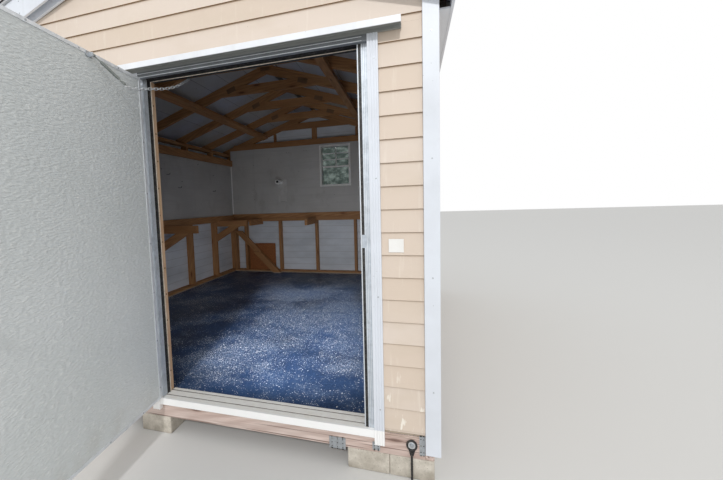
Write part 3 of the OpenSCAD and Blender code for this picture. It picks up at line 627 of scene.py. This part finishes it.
# Sets a shape on every spot through a node group; a spot is a place, a turn and perhaps a scale
def repeatShape(name, spots, shape, material, slot="galvanised", body="building"):
    sizes, buildShape = shape
    mesh = bpy.data.meshes.new(name)
    mesh.from_pydata([spot[0] for spot in spots], [], [])
    turns, grows, tints = addAttributes(mesh, "turn", "grow", "tint")
    luck = Random(len(spots))
    for i, spot in enumerate(spots):
        turns[i].vector = spot[1]
        grows[i].vector = spot[2] if len(spot) > 2 else (1, 1, 1)
        tints[i].value = luck.random()
    tree = bpy.data.node_groups.new(name + "Nodes", "GeometryNodeTree")
    inputs = {}
    for label, kind in {"Points": "Geometry", **dict.fromkeys(sizes, "Float"), "Finish": "Material"}.items():
        inputs[label] = tree.interface.new_socket(label, in_out="INPUT", socket_type="NodeSocket" + kind).identifier
    tree.interface.new_socket("Result", in_out="OUTPUT", socket_type="NodeSocketGeometry")
    group = put(tree, "NodeGroupInput")
    turn, grow = (put(tree, "InputNamedAttribute", {
        "Name": label}, data_type="FLOAT_VECTOR")[0] for label in ("turn", "grow"))
    turned = put(tree, "FunctionNodeEulerToRotation", {0: turn})[0]
    copies = put(tree, "InstanceOnPoints", {
        "Points": group["Points"], "Instance": buildShape(tree, group), "Rotation": turned, "Scale": grow})[0]
    joined = put(tree, "RealizeInstances", {"Geometry": copies})[0]
    finished = put(tree, "SetMaterial", {"Geometry": joined, "Material": group["Finish"]})[0]
    put(tree, "NodeGroupOutput", {"Result": finished})
    piece = addObject(name, mesh)
    modifier = piece.modifiers.new("repeat", "NODES")
    modifier.node_group = tree
    for label, value in dict(sizes, Finish=material).items():
        modifier[inputs[label]] = value
    bakeModifiers(piece)
    if body:
        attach(piece, body)
    return piece


def disc(radius, height, sides=10):
    return {"Radius": radius, "Height": height}, lambda tree, group: put(tree, "MeshCylinder", {
        "Vertices": sides, "Radius": group["Radius"], "Depth": group["Height"]}, fill_type="NGON")["Mesh"]


# One metre each way where the spots give their own size
def slab(length=1.0, width=1.0, height=1.0):
    def build(tree, group):
        size = put(tree, "ShaderNodeCombineXYZ", {0: group["Length"], 1: group["Width"], 2: group["Height"]})[0]
        return put(tree, "MeshCube", {"Size": size})["Mesh"]
    return {"Length": length, "Width": width, "Height": height}, build


# Round wire along a curve, so many sides round
def wireShape(tree, group, curve, sides, caps):
    ring = put(tree, "CurvePrimitiveCircle", {"Resolution": sides, "Radius": group["Wire"]})["Curve"]
    return put(tree, "CurveToMesh", {"Curve": curve, "Profile Curve": ring, "Fill Caps": caps})[0]


# Wire wound in a coil, with so many steps to a turn
def coil(turns, radius, height, wire, steps, sides):
    def build(tree, group):
        spiral = put(tree, "CurveSpiral", {
            "Resolution": steps, "Rotations": group["Turns"], "Start Radius": group["Radius"],
            "End Radius": group["Radius"], "Height": group["Height"]})[0]
        return wireShape(tree, group, spiral, sides, True)
    return {"Turns": turns, "Radius": radius, "Height": height, "Wire": wire}, build


# Heads of nails in the white trims
trimNails = {
    "size": (0.0035, 0.0016),     # radius and height
    "inset": 0.031, "heights": (0.443, 0.954, 1.461, 1.975),    # in the corner boards
    "casingInset": 0.017, "casingHeights": (0.33, 0.86, 1.39, 1.9),
    "rake": evenly(0.12, 0.28, 6), "rakeTop": 0.094, "rakeDrops": (0.035, 0.1),
}
spots = []
corner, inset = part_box("corner_trims")[1], trimNails["inset"]
for z in trimNails["heights"]:
    for side in bothWays:
        for end in bothWays:
            spots.append(((side * (corner.x - inset), end * corner.y, z), turnToY))
            spots.append(((side * corner.x, end * (corner.y - inset), z), turnToX))
low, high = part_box("door_casings")
for x in (low.x + trimNails["casingInset"], high.x - trimNails["casingInset"]):
    spots += [((x, low.y + 0.0005, z), turnToY) for z in trimNails["casingHeights"]]
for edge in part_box("rake_trims"):
    for side in bothWays:
        for x in trimNails["rake"]:
            for drop in trimNails["rakeDrops"]:
                spots.append(((side * x, edge.y, roofUnder(x) + trimNails["rakeTop"] - drop), turnToY))
repeatShape("trimNails", spots, disc(*trimNails["size"]), hotDipZinc)

# Punched plates pressed over the truss joints
jointPlates = {
    "size": (0.102, 0.05, 0.0012), "teethOver": (0.086, 0.036), "tooth": (0.008, 0.0028, 0.004),
    "offTruss": 0.0196, "collarAt": 0.40, "collarLift": 0.012, "ridgeLift": 0.052,
}


def toothedPlate():
    sizes, buildSlab = slab(*jointPlates["size"])

    def build(tree, group):
        long, tall = jointPlates["teethOver"]
        rows = put(tree, "MeshGrid", {"Size X": long, "Size Y": tall, "Vertices X": 7, "Vertices Y": 4})["Mesh"]
        tooth = put(tree, "MeshCube", {"Size": jointPlates["tooth"]})["Mesh"]
        teeth = put(tree, "InstanceOnPoints", {"Points": rows, "Instance": tooth})[0]
        joined = put(tree, "JoinGeometry", {0: buildSlab(tree, group)})[0]
        tree.links.new(teeth, joined.node.inputs[0])
        return joined
    return sizes, build


spots = []
x, off = jointPlates["collarAt"], jointPlates["offTruss"]
for k in range(1, 6):
    y = -halfDepth + k * trussBay
    for face in bothWays:
        for side in bothWays:
            spots.append(((side * x, y + face * off, roofUnder(x) + jointPlates["collarLift"]),
                          (halfPi, side * roofSlope, 0)))
        spots.append(((0, y + face * off, ridgeUnder + jointPlates["ridgeLift"]), turnToY))
repeatShape("jointPlates", spots, toothedPlate(), rustedPlate)
print("nails and plates set")

# Shingle tabs in courses over felt, every second one beginning with the cut tab
roofTabs = {
    "tab": 0.3066, "rows": 12, "gap": 0.006, "thick": 0.0034, "overlap": 0.03, "tilt": 1.6,
    "inner": 0.035, "lift": 0.005148, "narrowest": 0.02, "felt": 0.0022,
    "deckTop": 0.1016,      # rafter and deck, square to the slope
}


def placeShingles():
    low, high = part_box("shingles")
    inner, outer, depth = roofTabs["inner"], high.x, high.y - low.y
    tab, rows, overlap = roofTabs["tab"], roofTabs["rows"], roofTabs["overlap"]
    run = (outer - inner) / cos(roofSlope) / rows
    base = ridgeUnder + roofTabs["deckTop"] / cos(roofSlope)
    whole = int(depth / tab)
    widths = [tab] * whole + [depth - whole * tab]
    lean = roofSlope - radians(roofTabs["tilt"])
    spots = []
    for side in bothWays:
        for row in range(rows):
            # the top course isn't lapped
            fromEave = (row + 0.5) * run + (overlap / 2 if row < rows - 1 else 0)
            x = outer - fromEave * cos(roofSlope)
            z = base - x / 3 + roofTabs["lift"] / cos(roofSlope)
            y = low.y
            for width in widths[-1:] + widths[:-1] if row % 2 else widths:
                if width > roofTabs["narrowest"]:
                    spots.append(((side * x, y + width / 2, z), (0, side * lean, 0),
                                  (1, (width - roofTabs["gap"]) / tab, 1)))
                y += width
    tabs = repeatShape("roofTabs", spots, slab(run + overlap * 0.9, tab, roofTabs["thick"]), mineralShingle, "shingles")
    across = (inner + outer) / 2
    under = [((side * across, 0, base - across / 3 + 0.0015), (0, side * roofSlope, 0)) for side in bothWays]
    felt = repeatShape("roofFelt", under, slab((outer - inner) / cos(roofSlope), depth, roofTabs["felt"]),
                       blackSheathAndShade, "shingles")
    for piece in (tabs, felt):
        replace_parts(piece, "shingles")


placeShingles()

# Shingles bent over the ridge, drawn as two leaves each
ridgeCaps = {"length": 0.30, "wide": 0.158, "thick": 0.0032, "count": 16, "offRidge": 0.075, "tilt": 0.009}
low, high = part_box("ridge_cap")
length, x = ridgeCaps["length"], ridgeCaps["offRidge"]
step = (high.y - low.y - length) / (ridgeCaps["count"] - 1)
spots = []
for k in range(ridgeCaps["count"]):
    for side in bothWays:
        spots.append(((side * (x + 0.0008), low.y + length / 2 + k * step, high.z - x / 3 - 0.0045),
                      (ridgeCaps["tilt"], side * roofSlope, 0)))
leaves = slab(ridgeCaps["wide"], length, ridgeCaps["thick"])
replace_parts(repeatShape("ridgeCaps", spots, leaves, mineralShingle, "shingles"), "ridge_cap")
print("roof covered")


# A tube along each row of points, for bent wire and rope
def wireAlong(name, paths, radius, material, slot="galvanised", body="building"):
    curve = bpy.data.curves.new(name, "CURVE")
    curve.dimensions = "3D"
    curve.bevel_depth, curve.bevel_resolution, curve.use_fill_caps = radius, 2, True
    for points in paths:
        spline = curve.splines.new("POLY")
        spline.points.add(len(points) - 1)
        for target, p in zip(spline.points, points):
            target.co = (*p, 1)
    drawn = addObject(name + "Curve", curve)
    depsgraph = bpy.context.evaluated_depsgraph_get()
    mesh = bpy.data.meshes.new_from_object(drawn.evaluated_get(depsgraph))
    bpy.data.objects.remove(drawn)
    piece = addObject(name, mesh)
    setMaterial(mesh, material)
    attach(piece, body)
    return piece


# Door stay: a rod with a spring from the leaf's bracket, then a slack chain to the header
doorOpen = radians(84.4)
hinge = Vector((0.057, -1.865, 0))
stay = {
    "rod": 0.0026, "springTurns": 32, "wire": 0.0014, "coil": 0.0058,
    "link": 0.021, "linkWide": 0.0115, "linkBend": 0.0045, "linkWire": 0.0015, "linkTwist": 0.5,
    "onLeaf": (0.321, 0.0413, 1.957), "onHeader": (0.285, -1.7317, 1.984), "plateAt": (0.285, -1.7373, 1.997),
    "rodEnd": (0.30, 0.11),     # share of the way to the header, and drop
    "sag": ((0.285, 0.106), (0.36, 0.109), (0.54, 0.093), (0.70, 0.077), (0.85, 0.048), (1.0, 0.0)),
}


# A point of the open leaf: from the hinge, behind its face, at a height
def leafPoint(a, b, z):
    return Vector((hinge.x + a * cos(doorOpen) + b * sin(doorOpen),
                   hinge.y - a * sin(doorOpen) + b * cos(doorOpen), z))


def stayLine(share, sag):
    start = leafPoint(*stay["onLeaf"])
    p = start + share * (Vector(stay["onHeader"]) - start)
    p.z -= sag
    return p


# Even steps along a smooth line through the knots, each with its direction
def evenSteps(knots, step):
    fine = []
    for a, b, c, d in zip(knots[:1] + knots, knots, knots[1:], knots[2:] + knots[-1:]):
        for t in (j / 24 for j in range(24)):
            fine.append(0.5 * (2 * b + (c - a) * t + (2 * a - 5 * b + 4 * c - d) * t * t
                               + (3 * b - a - 3 * c + d) * t ** 3))
    fine.append(knots[-1])
    found, walked = [], 0.0
    for p, q in zip(fine, fine[1:]):
        gone = (q - p).length
        while walked <= gone:
            found.append((p + (q - p) * (walked / gone), q - p))
            walked += step
        walked -= gone
    return found


def chainLink(length, width, wire):
    def build(tree, group):
        oval = put(tree, "CurvePrimitiveQuadrilateral", {"Width": group["Length"], "Height": group["Width"]})[0]
        rounded = put(tree, "FilletCurve", {"Curve": oval, "Count": 3, "Radius": stay["linkBend"]}, mode="POLY")[0]
        return wireShape(tree, group, rounded, 5, False)
    return {"Length": length, "Width": width, "Wire": wire}, build


def makeStay():
    top, bottom = stayLine(0, 0), stayLine(*stay["rodEnd"])
    along = (bottom - top).normalized()
    wound = coil(stay["springTurns"], stay["coil"], (bottom - top).length - 0.085, stay["wire"], 10, 5)
    spring = repeatShape("staySpring", [(top + along * 0.035, along.to_track_quat("Z", "X").to_euler())],
                         wound, weatheredZinc, body="door")
    side = along.cross(Vector((0, 0, 1))).normalized()
    round12 = [(cos(k * pi / 6), sin(k * pi / 6)) for k in range(13)]
    eye = [top + (along * c + side * s) * 0.007 for c, s in round12]
    hook = [bottom - along * 0.03 + (along * c * 0.012 + side * s * 0.007) for c, s in round12]
    rod = wireAlong("stayRod", [[top + along * 0.006, bottom - along * 0.036], eye, hook],
                    stay["rod"], weatheredZinc, body="door")
    spots = []
    for place, way in evenSteps([stayLine(*knot) for knot in stay["sag"]], stay["link"] * 0.78):
        twist = Matrix.Rotation(len(spots) % 2 * halfPi + stay["linkTwist"], 4, "X")
        facing = way.to_track_quat("X", "Z").to_matrix().to_4x4() @ twist
        spots.append((place, facing.to_euler()))
    chain = repeatShape("stayChain", spots, chainLink(stay["link"], stay["linkWide"], stay["linkWire"]),
                        brightZinc, body=None)
    plate = repeatShape("stayPlate", [(stay["plateAt"], turnToY)], slab(0.014, 0.022, 0.003),
                        weatheredZinc)
    for piece in (chain, rod, spring, plate):
        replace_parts(piece, "door_stay")
    stayLine(0.98, 0)
    stayLine(*stay["rodEnd"])
    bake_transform(chain)


makeStay()
print("door stay hung")

# Anchor ropes of four strands, each up to a loop under a washer and a hex nut
anchor = {
    "boltX": 1.425, "boltZ": 0.170, "loop": 0.0225, "rope": 0.005, "washer": 0.0185, "nut": 0.0095,
    "strand": 0.003, "lay": 0.0024, "lays": 4.0,
}


def makeAnchors():
    x0, y0, z0 = Vector((anchor["boltX"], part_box("anchor_cables")[1].y - 0.0045, anchor["boltZ"]))
    loop, ropeTop = anchor["loop"], z0 - 0.034
    ropes, rings, washers, nuts = [], [], [], []
    for sx in bothWays:
        for sy in bothWays:
            x, y = sx * x0, sy * y0
            ropes += [((x, y, 0.0), (0, 0, k * halfPi)) for k in range(4)]
            rings.append([(x + loop * 0.9 * sin(t), y, z0 - 0.002 - loop * cos(t))
                          for t in (k * pi / 12 for k in range(25))])
            for side in bothWays:
                rings.append([(x + side * loop * 0.55, y, z0 - 0.018), (x + side * 0.007, y, ropeTop),
                              (x + side * 0.003, y, z0 - 0.05)])
            washers.append(((x, y, z0), turnToY))
            nuts.append(((x, sy * (y0 + 0.004), z0), (halfPi, 0.3, 0)))
    rope = repeatShape("anchorRopes", ropes, coil(anchor["lays"], anchor["lay"], ropeTop, anchor["strand"], 14, 6),
                       *blackCableAndShade)
    loops = wireAlong("anchorLoops", rings, anchor["rope"], *blackCableAndShade)
    for piece in (rope, loops):
        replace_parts(piece, "anchor_cables")
    repeatShape("anchorWashers", washers, disc(anchor["washer"], 0.0032), brightZinc)
    repeatShape("anchorNuts", nuts, disc(anchor["nut"], 0.009, 6), hotDipZinc)


makeAnchors()

# Punched holes in the tie straps as dark dots, some with a nail's head
strapHoles = {"hole": 0.0026, "head": 0.004, "nailed": 0.35, "rows": 3, "washersUpTo": 0.02, "wideFrom": 0.05}
holes, heads = [], []
luck = Random(5)
mesh = nodes["tie_straps"].data
for group in solidsOf(mesh):
    points = [mesh.vertices[v].co for v in group]
    a, b = (Vector([pick(p[k] for p in points) for k in range(3)]) for pick in (min, max))
    if b.x - a.x < strapHoles["washersUpTo"]:
        continue
    across = 3 if b.x - a.x > strapHoles["wideFrom"] else 2
    for row in range(strapHoles["rows"]):
        for k in range(across):
            spot = (a.x + (b.x - a.x) * (k + 0.5) / across, a.y if a.y < 0 else b.y,
                    a.z + (b.z - a.z) * (row + 0.5) / strapHoles["rows"])
            (heads if luck.random() < strapHoles["nailed"] else holes).append((spot, turnToY))
repeatShape("strapHoles", holes, disc(strapHoles["hole"], 0.001), blackSheathAndShade)
repeatShape("strapNails", heads, disc(strapHoles["head"], 0.001), weatheredZinc)

# Doorway lining: lighter ridges on jambs and lips as painted highlights, a black gasket, black strips of painted shade,
# a beige seal bulb
jambTrim = {
    "sides": (0.067, 1.211, 1.998, -1.831),    # left, right and top inside, and the front of the lips
    "bulb": 0.0028, "gasket": 0.004, "ridge": 0.0024, "proud": 0.0007, "paintedStrip": 0.0016, "headShadePad": 0.012,
    "jambRidges": (0.003, 0.012, 0.021, 0.029), "lipRidges": (1.2325, 1.2405, 1.2485, 1.2555),
    "headRidges": (1.9805, 1.9975),
}


def makeJambTrim():
    low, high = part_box("door_frame")
    left, right, top, front = jambTrim["sides"]
    paintedStrip, ridge, proud, shadePad = (jambTrim[k] for k in ("paintedStrip", "ridge", "proud", "headShadePad"))
    back, foot = high.y, low.z + 0.001
    across, wide = (left + right) / 2, right - left

    def threeSides(inset, y):
        under = top - shadePad - inset
        return [(left + inset, y, foot), (left + inset, y, under), (right - inset, y, under), (right - inset, y, foot)]

    def upright(x, y, thick, deep):
        return (x, y, (top + foot) / 2), level, (thick, deep, top - foot)

    wireAlong("sealBulb", [threeSides(jambTrim["bulb"] * 0.9, back + 0.001)], jambTrim["bulb"], sealVinyl, "white_trim")
    # black gasket by the bead, which also paints the shade in the gap beside it
    wireAlong("gasketAndShadeLine", [threeSides(jambTrim["gasket"] * 0.4, back - 0.008)],
              jambTrim["gasket"], *blackCableAndShade)
    # painted shade: black strips on the latch side, beside the left jamb's bead, and a pad under the head
    repeatShape("paintedShadeStrips", [
        upright(1.2194, front + paintedStrip / 2, 0.0064, paintedStrip),
        upright(1.2255, front - 0.0003, 0.0065, 0.0006),
        upright(left + paintedStrip / 2, back - 0.0145, paintedStrip, 0.021),
        ((across, back + 0.002, top - shadePad / 2), level, (wide - 0.002, 0.062, shadePad))],
        slab(), *blackCableAndShade)
    # ridges in the lighter aluminium: painted highlights
    spots = [upright(left + proud / 2, front + y, proud, ridge) for y in jambTrim["jambRidges"]]
    spots += [upright(x, front - proud / 2, ridge, proud) for x in jambTrim["lipRidges"]]
    # thin strips by the hinge casing and the latch jamb, lighter as painted highlight lines
    spots += [upright(0.0585, front - proud / 2, 0.0095, proud), upright(1.2144, front + paintedStrip / 2, 0.0036, paintedStrip)]
    spots += [((across, low.y - proud / 2, z), level, (wide + 0.05, proud, ridge)) for z in jambTrim["headRidges"]]
    repeatShape("jambRidges", spots, slab(), edgeAndHighlightAluminium, "aluminium")


makeJambTrim()

# Hooks and stray nails left in the linings
hooks = {
    "wire": 0.0032, "reach": 0.036, "bend": 0.014, "left": ((0.160, 1.713), (0.365, 1.559), (1.154, 1.537)),
    "backNails": ((-0.439, 2.111), (-0.402, 2.108), (-0.153, 2.124), (-0.117, 2.121), (-0.256, 1.807),
                  (-0.067, 1.836), (0.308, 1.432), (0.682, 1.834), (-1.02, 1.62), (-1.02, 1.40), (-1.02, 1.95)),
}
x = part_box("side_linings")[0].x + 0.0083
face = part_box("back_lining")[0].y
bend, paths = hooks["bend"], []
for y, z in hooks["left"]:
    paths.append([(x - 0.001, y, z), (x + 0.03, y, z - 0.003)] + [
        (x + hooks["reach"] + bend * sin(t), y, z + 0.011 - bend * cos(t))
        for t in (pi * k / 7 for k in range(5))])
wireAlong("liningHooks", paths, hooks["wire"], *blackCableAndShade)
nails = [((px, face - 0.004, pz), turnToY) for px, pz in hooks["backNails"]]
nails += [((x + 0.004, -0.3 + 0.37 * k, 1.9 - 0.13 * (k % 3)), turnToX) for k in range(5)]
repeatShape("strayNails", nails, disc(0.0035, 0.012), *blackCableAndShade)

# Dark insides: black disc and strip of painted shade in the pipe's bore and the slot under its plate; open joints of
# the roof boards
shadeAndJoints = {
    "bore": 0.0215, "boreX": -0.5517, "slot": (0.08, 0.009, 0.003), "deckUnder": 0.0938,
    "open": ((0.135, 0.012),) + tuple((x, 0.0025) for x in (-1.18, -0.9, -0.62, -0.42, -0.205, 0.42, 0.8, 1.18)),
}
low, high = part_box("wall_fixture")
repeatShape("pipeBoreShade", [((shadeAndJoints["boreX"], low.y + 0.003, high.z - 0.035), turnToY)],
            disc(shadeAndJoints["bore"], 0.002), *blackCableAndShade)
repeatShape("coverSlotShade", [(((low.x + high.x) / 2, high.y - 0.006, low.z - 0.0006), level)],
            slab(*shadeAndJoints["slot"]), *blackCableAndShade)
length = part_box("roof_deck")[1].y * 2 - 0.2
spots = [((x, 0, roofUnder(abs(x)) + shadeAndJoints["deckUnder"]), (0, copysign(roofSlope, x), 0),
          (wide, length, 0.001)) for x, wide in shadeAndJoints["open"]]
repeatShape("roofJoints", spots, slab(), *blackCableAndShade)

# White beads down the corners between the linings
cornerBeads = {"wide": 0.012, "from": 1.17, "to": 1.952, "inset": 0.007}
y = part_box("back_lining")[0].y - cornerBeads["inset"]
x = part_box("side_linings")[1].x - 0.0083 - cornerBeads["inset"]
low, high, wide = cornerBeads["from"], cornerBeads["to"], cornerBeads["wide"]
repeatShape("cornerBeads", [((side * x, y, (low + high) / 2), level) for side in bothWays],
            slab(wide, wide, high - low), windowVinyl, "window_frame")

# Bars of the upper sash
sashBars = {"bar": 0.014, "thick": 0.008, "frame": 0.028, "railShare": 0.46, "toOutside": 0.0075}
low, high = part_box("window_frame")
edge, bar = sashBars["frame"], sashBars["bar"]
rail = low.z + (high.z - low.z) * sashBars["railShare"] + edge
top = high.z - edge
x, y = (low.x + high.x) / 2, halfDepth - sashBars["toOutside"]
spots = [((x, y, (rail + top) / 2), level, (bar, 1, top - rail))]
spots += [((x, y, rail + share * (top - rail)), level, (high.x - low.x - 2 * edge, 1, bar))
          for share in (1 / 3, 2 / 3)]
repeatShape("sashBars", spots, slab(width=sashBars["thick"]), windowVinyl, "window_frame")

# Screws along the leaf's edge channel, on both faces
leafScrews = {
    "size": (0.004, 0.0014), "faces": (0.0283, 0.0027),
    "edges": (0.0125, 1.1875), "heights": evenly(0.30, 0.268, 7),
    "ends": (0.2445, 1.9645), "across": evenly(0.16, 0.22, 5),
}
places = []
for b in leafScrews["faces"]:
    places += [leafPoint(a, b, z) for z in leafScrews["heights"] for a in leafScrews["edges"]]
    places += [leafPoint(a, b, z) for a in leafScrews["across"] for z in leafScrews["ends"]]
repeatShape("leafScrews", [(place, (halfPi, 0, -doorOpen)) for place in places],
            disc(*leafScrews["size"]), hotDipZinc, body="door")

# Rusty nails through the post on the hinge side, a little out of line
postNails = {"size": (0.0045, 0.001), "face": 0.065, "line": -1.758, "heights": evenly(0.34, 0.152, 11)}
repeatShape("postNails", [((postNails["face"], postNails["line"] + 0.006 * sin(5 * k), z), turnToX)
                          for k, z in enumerate(postNails["heights"])], disc(*postNails["size"]), rustedPlate)
print("small fittings placed")

# Studio: pale floor, even sky, a key lamp in front, a fill and a sunbeam in the doorway
studio = {
    "sky": 0.82, "background": 1.0, "floor": "#DADAD8", "floorReach": 40,
    "sunlight": (-0.166, 0.822, -0.545), "keyAt": (0.2, -1.0, 0.9), "keyFar": 13.0,
    "fillAt": (0.66, -1.62, 0.85), "fillDown": 22, "beamAt": (0.61, -1.44, 0.98),
    # watts, size, and spread in degrees
    "keyLamp": (530, (0.7, 0.7), 180), "doorwayFill": (10.5, (0.9, 0.8), 130), "roomBeam": (2.4, (1.14, 1.16), 9),
}


def makeLamp(name, shape, place, turn):
    data = bpy.data.lights.new(name, "AREA")
    data.shape = shape
    data.energy, (data.size, data.size_y), spread = studio[name]
    data.spread = radians(spread)
    lamp = addObject(name, data)
    lamp.location, lamp.rotation_euler = place, turn


mesh = bpy.data.meshes.new("studioFloor")
s = studio["floorReach"]
mesh.from_pydata([(-s, -s, 0), (s, -s, 0), (s, s, 0), (-s, s, 0)], [], [(0, 1, 2, 3)])
floor = addObject("studioFloor", mesh)
mesh.materials.append(startMaterial("paleFloor", 0.9, more={"Base Color": linear(studio["floor"])})[0])
# brighter where the camera, a reflection or the glass sees it
world = bpy.data.worlds.new("evenSky")
bpy.context.scene.world = world
world.use_nodes = True
sky = world.node_tree
rays = put(sky, "LightPath")
seen = rays["Is Camera Ray"]
for ray in ("Is Glossy Ray", "Is Transmission Ray"):
    seen = put(sky, "Math", {0: seen, 1: rays[ray]}, operation="MAXIMUM")[0]
strength = put(sky, "MapRange", {
    "Value": seen, "To Min": studio["sky"], "To Max": studio["background"]})[0]
back = sky.nodes["Background"]
back.inputs["Color"].default_value = (1, 1, 1, 1)
sky.links.new(strength, back.inputs["Strength"])
ray = Vector(studio["sunlight"]).normalized()
keyTurn = ray.to_track_quat("-Z", "Y").to_euler()
makeLamp("keyLamp", "DISK", Vector(studio["keyAt"]) - ray * studio["keyFar"], keyTurn)
makeLamp("doorwayFill", "RECTANGLE", studio["fillAt"], (halfPi - radians(studio["fillDown"]), 0, 0))
makeLamp("roomBeam", "RECTANGLE", studio["beamAt"], keyTurn)
bpy.context.scene.view_settings.view_transform = "Standard"
print("studio lit")
